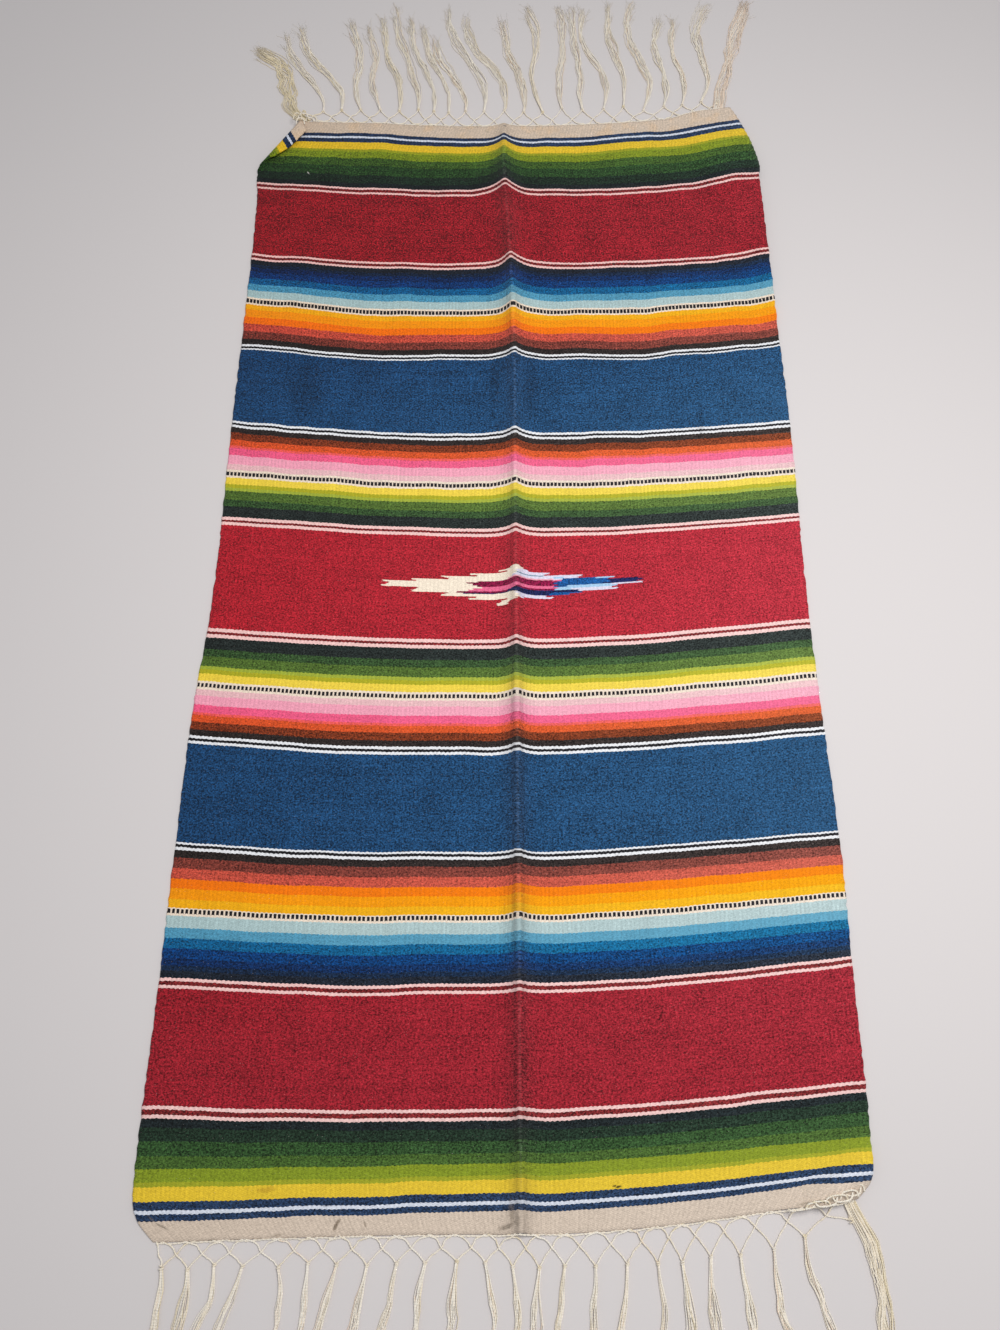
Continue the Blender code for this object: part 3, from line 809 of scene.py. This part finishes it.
def webLines(rows):
    # places across the web for each row, drawn together along the crease's own path
    spec = webGrid
    tip = crease(1, rows)
    beside = (*(-away for away in reversed(spec["creaseLines"])), 0.0, *spec["creaseLines"])
    creaseLines = np.stack([acrossAt(tip + away, rows) for away in beside], axis=1)
    leftEnd, leftSteps = spec["leftZone"]
    rightStart, rightSteps = spec["rightZone"]
    ends = np.full(len(rows), 1.0)
    left = ((-ends, leftEnd * ends, leftSteps), (leftEnd * ends, creaseLines[:, 0], spec["leftCount"]))
    last = creaseLines[:, -1]
    right = ((last, rightStart * ends, spec["rightCount"]), (rightStart * ends, ends, rightSteps))
    left = [np.linspace(low, high, steps + 1, axis=1)[:, :-1] for low, high, steps in left]
    right = [np.linspace(low, high, steps + 1, axis=1)[:, 1:] for low, high, steps in right]
    return np.concatenate((*left, creaseLines, *right), axis=1)


def webRows():
    nearDepth, nearSteps = webGrid["nearRows"]
    farDepth, farSteps = webGrid["farRows"]
    near, far = cloth["near"], cloth["far"]
    stops = (near, near + nearDepth, far - farDepth, far)
    counts = (nearSteps, webGrid["middleRows"], farSteps)
    rows = [np.linspace(low, high, steps + 1)[:-1] for low, high, steps in zip(stops, stops[1:], counts)]
    return np.concatenate((*rows, (far,)))


def makeWeb():
    spec = webGrid
    rows = webRows()
    across = webLines(rows)
    shape = across.shape
    station = np.repeat(rows[:, None], shape[1], axis=1)
    flatAcross, flatStation = across.ravel(), station.ravel()
    under = lay(flatAcross, flatStation).reshape(*shape, 3)
    normals = unit(np.cross(np.gradient(under, axis=1), np.gradient(under, axis=0)))
    u, v = flatAcross * cloth["halfWidth"], flatStation
    cockle = smoothNoise(u, v, 0.016, 3) + 1.4 * smoothNoise(u, v, 0.045, 4)
    cockle = cockle.reshape(shape) * spec["cockle"]
    top = under + normals * (cloth["wall"] + cockle)[..., None]
    under[..., 2] = np.maximum(under[..., 2], 0.0)

    # the selvedges pull in a little between picks
    edge = (smoothNoise(v, v * 0, 0.006, 5) + 0.6 * smoothNoise(v, v * 0, 0.0025, 6)).reshape(shape)
    side = unit(np.gradient(top, axis=1))
    for index, way in ((0, -1), (-1, 1)):
        move = side[:, index] * (way * spec["scallop"] * edge[:, index])[:, None]
        top[:, index] += move
        under[:, index] += move
    count = shape[0] * shape[1]
    index = np.arange(count).reshape(shape)
    quads = quadsBetween(index[:-1], index[1:])
    below = quads[:, ::-1] + count

    # a rounded rim between the two faces
    loop = np.concatenate((index[0, :-1], index[:-1, -1], index[-1, :0:-1], index[:0:-1, 0]))
    topPoints, underPoints = top.reshape(-1, 3), under.reshape(-1, 3)
    middle = (topPoints[loop] + underPoints[loop]) / 2
    ahead = np.roll(middle, -1, axis=0) - np.roll(middle, 1, axis=0)
    middle = middle + unit(np.cross(ahead, normals.reshape(-1, 3)[loop])) * spec["rimBulge"]
    rim = 2 * count + np.arange(len(loop))
    nextLoop, nextRim = np.roll(loop, -1), np.roll(rim, -1)
    upper = np.stack((loop, rim, nextRim, nextLoop), axis=-1)
    lower = np.stack((rim, loop + count, nextLoop + count, nextRim), axis=-1)
    points = np.concatenate((topPoints, underPoints, middle))

    # where each point was woven, and how far it is from the crease's tip and up it
    x = xOf(flatAcross, v)
    loom = np.stack((u, mirrorPlace(flatAcross, v), v), axis=-1)
    relief = np.stack((x - crease(1, v), creaseShare(x, v), np.zeros_like(x)), axis=-1)
    layers = {"loom": loom, "relief": relief}
    layers = {name: np.concatenate((values, values, values[loop])) for name, values in layers.items()}
    faces = np.concatenate((quads, below, upper, lower)).tolist()
    return addMesh("wovenSerape", points, faces, layers, woolLook)


web = makeWeb()
print("web made")

# The fringes: warp ends crossed once, knotted in pairs and left loose
farEnd = {
    "station": 0.685,
    "side": 1,
    "ends": (-0.272, 0.300),
    "bundleTones": (0.08, 0.98),
    "locks": (4, *[2] * 21, 4),
    "loops": (
        # mm: x, distance off the end, width, bulge, height
        (-284, -1, 14, 7, 4),
        (-291, -8, 12, 10, 4),
        (-287, -14, 12, 9, 4.5),
        (-276, 0, 12, 5, 3.5),
    ),
    "rows": (
        # mm: knot x, knot reach, tip shift, tip reach, sway
        (-285, 16, -70, 145, -12),
        (-258, 20, -62, 170, 6),
        (-232, 23, -66, 187, 8),
        (-205, 25, -20, 198, -6),
        (-177, 26, -26, 191, -4),
        (-150, 25, -28, 211, 4),
        (-123, 28, -36, 231, 4),
        (-101, 26, -38, 214, 6),
        (-80, 25, -40, 199, 4),
        (-56, 28, -44, 171, 4),
        (-30, 28, -52, 233, 8),
        (-1, 30, -56, 216, 10),
        (26, 27, -28, 208, 6),
        (53, 25, -20, 234, -7),
        (80, 32, 1, 233, -6),
        (109, 28, -13, 231, -2),
        (139, 28, -24, 227, 9),
        (167, 30, -14, 234, 4),
        (195, 20, -4, 236, 9),
        (224, 24, 0, 197, 6),
        (250, 23, -4, 193, 8),
        (277, 24, 18, 217, 10),
        (300, 20, 54, 219, 3),
    ),
}
nearEnd = {
    "station": -0.690,
    "side": -1,
    "ends": (-0.338, 0.327),
    "bundleTones": (0.45, 0.32),
    "locks": (3, *[2] * 22, 4),
    "loops": (
        # mm: x, distance off the end, width, bulge, height
        (276, -1, 26, 2, 3.5),
        (291, 1, 24, -5, 4),
        (299, -5, 22, 6, 4.5),
        (309, -1, 22, -6, 4.5),
        (315, -7, 20, 6, 5),
        (322, -2, 18, -7, 4.5),
        (326, -10, 16, 6, 5),
        (331, -6, 14, -7, 5),
    ),
    "rows": (
        # mm: knot x, knot reach, tip shift, tip reach, sway
        (-331, 22, -42, 214, 6),
        (-306, 24, -58, 226, 6),
        (-281, 21, -64, 209, 5),
        (-254, 23, -66, 223, -4),
        (-220, 25, -36, 216, 10),
        (-192, 22, -34, 231, 2),
        (-165, 24, -46, 219, -4),
        (-136, 25, -48, 227, -3),
        (-108, 24, -46, 212, -3),
        (-81, 24, -40, 224, -4),
        (-51, 23, -24, 233, -3),
        (-24, 24, -6, 217, 7),
        (2, 27, 0, 228, 5),
        (27, 28, -4, 211, -3),
        (51, 27, -10, 222, -4),
        (80, 29, -20, 230, 2),
        (110, 29, -27, 214, 0),
        (139, 31, -10, 226, 2),
        (162, 33, 14, 219, 2),
        (189, 31, 16, 232, -3),
        (217, 33, 26, 224, 0),
        (249, 32, 36, 213, -3),
        (279, 26, 52, 221, -3),
        (324, 18, 55, 205, 9),
    ),
}

# The loose yarns of the tassels, which lie in a few clumps
tassel = {
    "radius": 0.00045,
    "thickness": (0.75, 1.15),
    "tipTaper": (0.85, 0.65, 0.4),
    "perLock": 8,
    "clumps": 4,
    "points": 27,
    "sides": 5,
    "width": (0.0011, 0.0045),  # under the knot and at the tip
    "widthScatter": (0.75, 1.25),
    "opening": ((0.55, 0.0, 0.2), (0.45, 0.1, 0.8)),  # share, and from and to along the yarn
    "clumpSpread": 0.6,
    "yarnSpread": 0.42,
    "bundleTop": 0.0044,
    "bundleShare": 1.8,
    "bundleStart": 0.001,
    "clumpWander": 0.0018,
    "yarnWander": 0.0008,
    "commonWander": 0.0016,
    "lean": 1.25,
    "shorter": 0.15,
    "settling": 0.6,
    "knotShare": 0.12,
    "layer": 0.0008,
    "knotLayer": 0.0006,
    "knotHeight": 0.0022,
    "floorGap": 0.0001,
    "tone": (0.58, 0.2),  # middle, scatter
    "bundleScatter": 0.12,
}
fray = {
    "points": 8,
    "length": 0.028,
    "shares": (0.4, 1.0),
    "radius": 0.00022,
    "taper": 0.5,
    "opening": 0.0065,
    "openingLimit": 0.011,
    "curl": 0.0016,
    "rise": 0.0012,
    "height": 0.0004,
}


def strandTubes(paths, radii, sides, chance):
    # closed tubes along many paths of equal length, turned without twisting
    count, steps, _ = paths.shape
    tangents = unit(np.gradient(paths, axis=1))
    sideways = [unit(np.cross(tangents[:, 0], (0.0, 0.0, 1.0)) + np.array((1e-6, 0, 0)))]
    for step in range(1, steps):
        ahead = tangents[:, step]
        sideways.append(unit(sideways[-1] - ahead * np.sum(sideways[-1] * ahead, axis=-1, keepdims=True)))
    sideways = np.stack(sideways, axis=1)
    upward = np.cross(sideways, tangents)
    angles = np.arange(sides) * 2 * math.pi / sides
    ring = sideways[:, :, None] * np.cos(angles)[:, None] + upward[:, :, None] * np.sin(angles)[:, None]
    points = paths[:, :, None] + ring * radii[:, :, None, None]
    points[..., 2] = np.maximum(points[..., 2], tassel["floorGap"] / 2)
    shape = points.shape[:3]
    layers = (lengthAlong(paths)[:, :, None], angles, chance[:, None, None])
    strand = np.stack([np.broadcast_to(layer, shape) for layer in layers], axis=-1)
    index = np.arange(count * steps * sides).reshape(shape)
    quads = quadsBetween(index, np.roll(index, -1, axis=2)).tolist()
    caps = index[:, 0].tolist() + index[:, -1, ::-1].tolist()
    return points.reshape(-1, 3), quads + caps, strand.reshape(-1, 3)


def edgeY(x, station):
    x = np.atleast_1d(x)
    stations = np.full_like(x, station)
    return station + bowOf(acrossAt(x, stations), stations)


def wanderOf(count, steps, size):
    # slow sideways drift of each yarn, nothing at its start
    t = np.linspace(0, 1, steps)[None]
    total = np.zeros((count, steps))
    for waves, weight in ((0.8, 1.0), (1.7, 0.7), (3.6, 0.4), (6.2, 0.2), (11.0, 0.12)):
        phase = draw.uniform(0, 2 * math.pi, (count, 1))
        total += weight * np.sin(2 * math.pi * waves * t * draw.uniform(0.7, 1.3, (count, 1)) + phase)
    return total * size * ease(0.0, 0.30, t)


def chanceOf(middle, scatter, count):
    return np.clip(draw.normal(middle, scatter, count), 0, 1)


def makeTassels(fringe):
    spec = tassel
    steps = spec["points"]
    topWidth, tipWidth = spec["width"]
    t = np.linspace(0, 1, steps)[None]
    opened = sum(share * ease(low, high, t) for share, low, high in spec["opening"])
    settled = 1 - spec["settling"] * ease(0.2, 0.9, t)
    atKnot = 1 - ease(0.0, spec["knotShare"], t)
    paths, chances = [], []
    for (knotX, knotReach, tipShift, tipReach, sway), locks in zip(fringe["rows"], fringe["locks"]):
        bundle = locks > 3
        count = locks * spec["perLock"]
        share = (spec["bundleShare"] if bundle else 0.5 * locks) * draw.uniform(*spec["widthScatter"])
        top = spec["bundleTop"] if bundle else topWidth
        width = share * (top + (tipWidth - top) * opened)
        clump = np.arange(count) % spec["clumps"]
        middle = (clump / (spec["clumps"] - 1) * 2 - 1)[:, None] * width * spec["clumpSpread"]
        middle = middle + wanderOf(spec["clumps"], steps, spec["clumpWander"] * share)[clump]
        inner = draw.uniform(-spec["yarnSpread"], spec["yarnSpread"], (count, 1)) * width
        beside = middle + inner + wanderOf(count, steps, spec["yarnWander"])
        beside = beside + wanderOf(1, steps, spec["commonWander"])
        length = tipReach * (1 - spec["shorter"] * draw.uniform(0, 1, (count, 1)) ** 1.6)
        x = knotX + beside + tipShift * t ** spec["lean"] + sway * np.sin(2 * math.pi * t)
        start = spec["bundleStart"] if bundle else knotReach
        y = edgeY(knotX, fringe["station"]) + fringe["side"] * (start + (length - start) * t)
        layer = draw.integers(0, 3, (count, 1))
        low = spec["radius"] + spec["floorGap"] + layer * spec["layer"] * settled
        z = low + (spec["knotHeight"] + layer * spec["knotLayer"] - low) * atKnot
        paths.append(np.stack((x, y, z), axis=-1) + shift)
        tone = (fringe["bundleTones"][knotX > 0], spec["bundleScatter"]) if bundle else spec["tone"]
        chances.append(chanceOf(*tone, count))
    paths, chances = np.concatenate(paths), np.concatenate(chances)
    radii = np.full(paths.shape[:2], spec["radius"]) * draw.uniform(*spec["thickness"], (len(paths), 1))
    radii[:, -3:] *= np.array(spec["tipTaper"])
    return paths, radii, chances


def makeFrays(paths, chances):
    spec = fray
    steps = np.linspace(0, 1, spec["points"])
    root = paths[:, -3]
    ahead = unit(paths[:, -1] - paths[:, -4])
    beside = np.stack((-ahead[:, 1], ahead[:, 0], np.zeros(len(ahead))), axis=-1)
    each = (len(paths), 1)
    length = draw.uniform(*spec["shares"], each) * spec["length"]
    opening = np.clip(draw.normal(0, spec["opening"], each), -spec["openingLimit"], spec["openingLimit"])
    curl = draw.normal(0, spec["curl"], each)
    made = root[:, None] + ahead[:, None] * (length * steps)[..., None]
    made = made + beside[:, None] * (opening * steps**1.4 + curl * np.sin(steps * 5))[..., None]
    rise = np.abs(draw.normal(0, spec["rise"], each)) * steps
    made[..., 2] = spec["height"] + rise + (root[:, 2:3] - spec["height"]) * (1 - steps)
    radii = spec["radius"] * (1 - spec["taper"] * steps)[None] * np.ones(each)
    return made, radii, chances


# The twisted cords between the web's end and the knots, the knots and the heading
cord = {
    "yarns": 4,
    "points": 16,
    "yarnRadius": 0.000405,
    "winding": 0.0005,
    "pitch": 0.011,
    "spread": 0.019,
    "hang": (0.0010, 0.0024),
    "crossReach": 0.0115,
    "inset": 0.003,
    "scatter": (0.6, 1.15),
    "endShare": 0.3,
    "rootInset": 0.0006,
    "lean": 0.001,
    "rise": (0.0014, 0.0012),
    "crossing": (0.0010, 0.0022),  # under and over
    "low": 0.0011,
    "high": 0.0022,
    "times": (0.0, 0.16, 0.38, 0.58, 0.80, 1.0),
    "jitter": 0.0002,
    "loopWinding": 0.0006,
    "loopPitch": 0.0077,
}
knot = {
    "points": 26,
    "radius": 0.0016,
    "bundleShare": 1.4,
    "turns": 1.8,
    "length": 0.0032,
    "bundleLength": 1.5,
    "slant": 0.45,
    "barrel": 0.35,
    "yarnRadius": 0.0006,
    "clear": 0.0007,
}
heading = {
    "points": 350,
    "pitch": 0.0085,
    "winding": 0.0005,
    "away": 0.0016,
    "loose": ((0.0009, 0.013), (0.0004, 0.004)),  # amount, size
    "height": 0.0009,
    "radius": 0.0005,
}


def twistCord(line, count, radius, pitch):
    # a few yarns wound round a line
    ahead = unit(np.gradient(line, axis=0))
    beside = unit(np.stack((-ahead[:, 1], ahead[:, 0], np.zeros(len(line))), axis=-1))
    upward = np.cross(ahead, beside)
    start = draw.uniform(0, 2 * math.pi)
    paths = []
    for one in range(count):
        turn = (start + 2 * math.pi * (one / count + lengthAlong(line) / pitch))[:, None]
        paths.append(line + radius * (beside * np.cos(turn) + upward * np.sin(turn)))
    return paths


def lineThrough(times, xs, ys, zs, t):
    return np.stack([curveThrough(times, values, t) for values in (xs, ys, zs)], axis=-1)


def makeArms(fringe):
    # twisted cords: along the web's end, down to where two cross, and on to their knots
    spec = cord
    rows, side, station = fringe["rows"], fringe["side"], fringe["station"]
    first, last = fringe["ends"]
    between = [(left[0] + right[0]) / 2 for left, right in zip(rows, rows[1:])]
    feet = [first + spec["inset"], *between, last - spec["inset"]]
    t = np.linspace(0, 1, spec["points"])
    cross = spec["crossReach"]
    paths = []
    for index, foot in enumerate(feet):
        for knotX, knotReach, *_ in rows[max(index - 1, 0) : index + 1]:
            way = 1 if knotX > foot else -1
            share = 1.0 if 0 < index < len(feet) - 1 else spec["endShare"]
            reach = way * spec["spread"] * draw.uniform(*spec["scatter"]) * share
            root = min(max(foot - reach, first), last)
            bend = (foot + knotX) / 2 + way * spec["lean"]
            xs = np.array((root, foot - reach * 0.72, foot - reach * 0.30, foot, bend, knotX))
            hang = draw.uniform(*spec["hang"])
            out = np.array((0.0, hang, 0.40 * cross, cross, (cross + knotReach) / 2, knotReach))
            inside = np.array([station - side * spec["rootInset"]])
            base = lay(acrossAt(xs[:1], np.array([station])), inside)[0] - shift
            ys = edgeY(xs, station) + side * out
            ys[0] = base[1]
            falling = (base[2] * 0.6 + spec["rise"][0], base[2] * 0.3 + spec["rise"][1])
            crossing = spec["crossing"][way > 0]
            zs = np.array((base[2] + cloth["wall"] * 0.5, *falling, crossing, spec["low"], spec["high"]))
            line = lineThrough(spec["times"], xs, ys, zs, t)
            line[:, :2] += draw.normal(0, spec["jitter"], (len(t), 2)) * ease(0.0, 0.2, t)[:, None]
            paths += twistCord(line + shift, spec["yarns"], spec["winding"], spec["pitch"])
    times = np.linspace(0, 1, 5)
    stations = np.full(5, station)
    for x, reach, span, bulge, high in fringe["loops"]:
        # slack cords drawn up in loops at a corner
        xs = x + span * (times - 0.5 + 0.12 * np.array((0, -1, 0, 1, 0)))
        ys = edgeY(xs, station) + side * (reach + bulge * np.array((0.0, 0.8, 1.0, 0.8, 0.0)))
        zs = lay(acrossAt(xs, stations), stations)[:, 2].max() + high * np.array((0.7, 1.0, 1.1, 1.0, 0.7))
        line = lineThrough(times, xs, ys, zs, t) + shift
        paths += twistCord(line, spec["yarns"], spec["loopWinding"], spec["loopPitch"])
    paths = np.array(paths)
    paths[..., 2] = np.maximum(paths[..., 2], tassel["radius"] + tassel["floorGap"])
    return paths, np.full(paths.shape[:2], spec["yarnRadius"]), chanceOf(0.5, 0.2, len(paths))


def makeKnots(fringe):
    spec = knot
    t = np.linspace(0, 1, spec["points"])
    paths = []
    for (knotX, knotReach, *_), locks in zip(fringe["rows"], fringe["locks"]):
        small = locks == 2
        radius = spec["radius"] * (1.0 if small else spec["bundleShare"])
        turn = 2 * math.pi * spec["turns"] * t + draw.uniform(0, 6)
        along = (t - 0.5) * spec["length"] * (1.0 if small else spec["bundleLength"])
        wrap = radius * (1 - spec["barrel"] * (2 * t - 1) ** 2)
        x = knotX + wrap * np.cos(turn)
        slant = draw.uniform(-spec["slant"], spec["slant"]) * wrap * np.cos(turn) * 0.5
        y = edgeY(knotX, fringe["station"]) + fringe["side"] * (knotReach + along) + slant
        paths.append(np.stack((x, y, radius + spec["clear"] + wrap * np.sin(turn)), axis=-1) + shift)
    paths = np.array(paths)
    return paths, np.full(paths.shape[:2], spec["yarnRadius"]), chanceOf(0.3, 0.15, len(paths))


def makeHeading(fringe):
    # two yarns twined along the web's end
    spec = heading
    station, side = fringe["station"], fringe["side"]
    x = np.linspace(*fringe["ends"], spec["points"])
    stations = np.full_like(x, station)
    base = lay(acrossAt(x, stations), stations)
    (wide, wideSize), (fine, fineSize) = spec["loose"]
    away = spec["away"] + wide * smoothNoise(x, x * 0, wideSize, 21 + side)
    away = away + fine * smoothNoise(x, x * 0, fineSize, 24)
    paths = []
    for phase in (0.0, math.pi):
        turn = lengthAlong(base) / spec["pitch"] * 2 * math.pi + phase
        path = base.copy()
        path[:, 1] += side * (away + spec["winding"] * np.cos(turn))
        path[:, 2] += spec["height"] + spec["winding"] * np.sin(turn)
        paths.append(path)
    paths = np.array(paths)
    return paths, np.full(paths.shape[:2], spec["radius"]), np.array((0.45, 0.6))


def makeFringe(name, fringe):
    tables = {key: [[value / 1000 for value in row] for row in fringe[key]] for key in ("rows", "loops")}
    fringe = {**fringe, **tables}
    tassels = makeTassels(fringe)
    strands = (
        (tassels, tassel["sides"]),
        (makeFrays(tassels[0], tassels[2]), 3),
        (makeArms(fringe), tassel["sides"]),
        (makeKnots(fringe), 6),
        (makeHeading(fringe), 6),
    )
    points, faces, layers, base = [], [], [], 0
    for (paths, radii, chances), sides in strands:
        tubes, tubeFaces, tubeLayers = strandTubes(paths, radii, sides, chances)
        faces += [[corner + base for corner in face] for face in tubeFaces]
        points.append(tubes)
        layers.append(tubeLayers)
        base += len(tubes)
    return addMesh(name, np.concatenate(points), faces, {"strand": np.concatenate(layers)}, cottonLook)


farFringe = makeFringe("farFringe", farEnd)
nearFringe = makeFringe("nearFringe", nearEnd)
print("fringes made")

for piece, node, finish in (
    (web, "woven_web", "woven_wool"),
    (farFringe, "fringe_far", "cotton_warp"),
    (nearFringe, "fringe_near", "cotton_warp"),
):
    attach(piece, "root")
    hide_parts(node)


# Floor and light
studio = {
    "floor": 8.0,
    "floorDrop": 0.0004,
    "floorLook": {"Base Color": (0.71, 0.665, 0.653, 1.0), "Roughness": 0.95, "Specular IOR Level": 0.1},
    "sky": (0.93, 0.96, 1.0),
    "skyStrength": 0.42,
    "lampPlace": (0.45, -0.08, 1.6),
    "lampAim": (0.0, -0.1, 0.0),
    "lampSize": 0.7,
    "lampPower": 19.5,
}


def addStudio():
    half = studio["floor"] / 2
    mesh = bpy.data.meshes.new("floor")
    corners = [(x * half, y * half, 0.0) for x, y in ((-1, -1), (1, -1), (1, 1), (-1, 1))]
    mesh.from_pydata(corners, [], [(0, 1, 2, 3)])
    mesh.materials.append(newLook("paleFloor", studio["floorLook"])[0])
    floor = addObject("floor", mesh)
    floor.location.z = -studio["floorDrop"]
    world = bpy.data.worlds.new("studio")
    bpy.context.scene.world = world
    world.use_nodes = True
    sky = world.node_tree.nodes["Background"]
    sky.inputs["Color"].default_value = (*studio["sky"], 1.0)
    sky.inputs["Strength"].default_value = studio["skyStrength"]
    lamp = bpy.data.lights.new("keyLamp", "AREA")
    lamp.shape = "DISK"
    lamp.size = studio["lampSize"]
    lamp.energy = studio["lampPower"]
    holder = addObject("keyLamp", lamp)
    holder.location = studio["lampPlace"]
    aim = Vector(studio["lampAim"]) - holder.location
    holder.rotation_euler = aim.to_track_quat("-Z", "Y").to_euler()


addStudio()
bpy.context.scene.view_settings.view_transform = "Standard"
print("studio made")
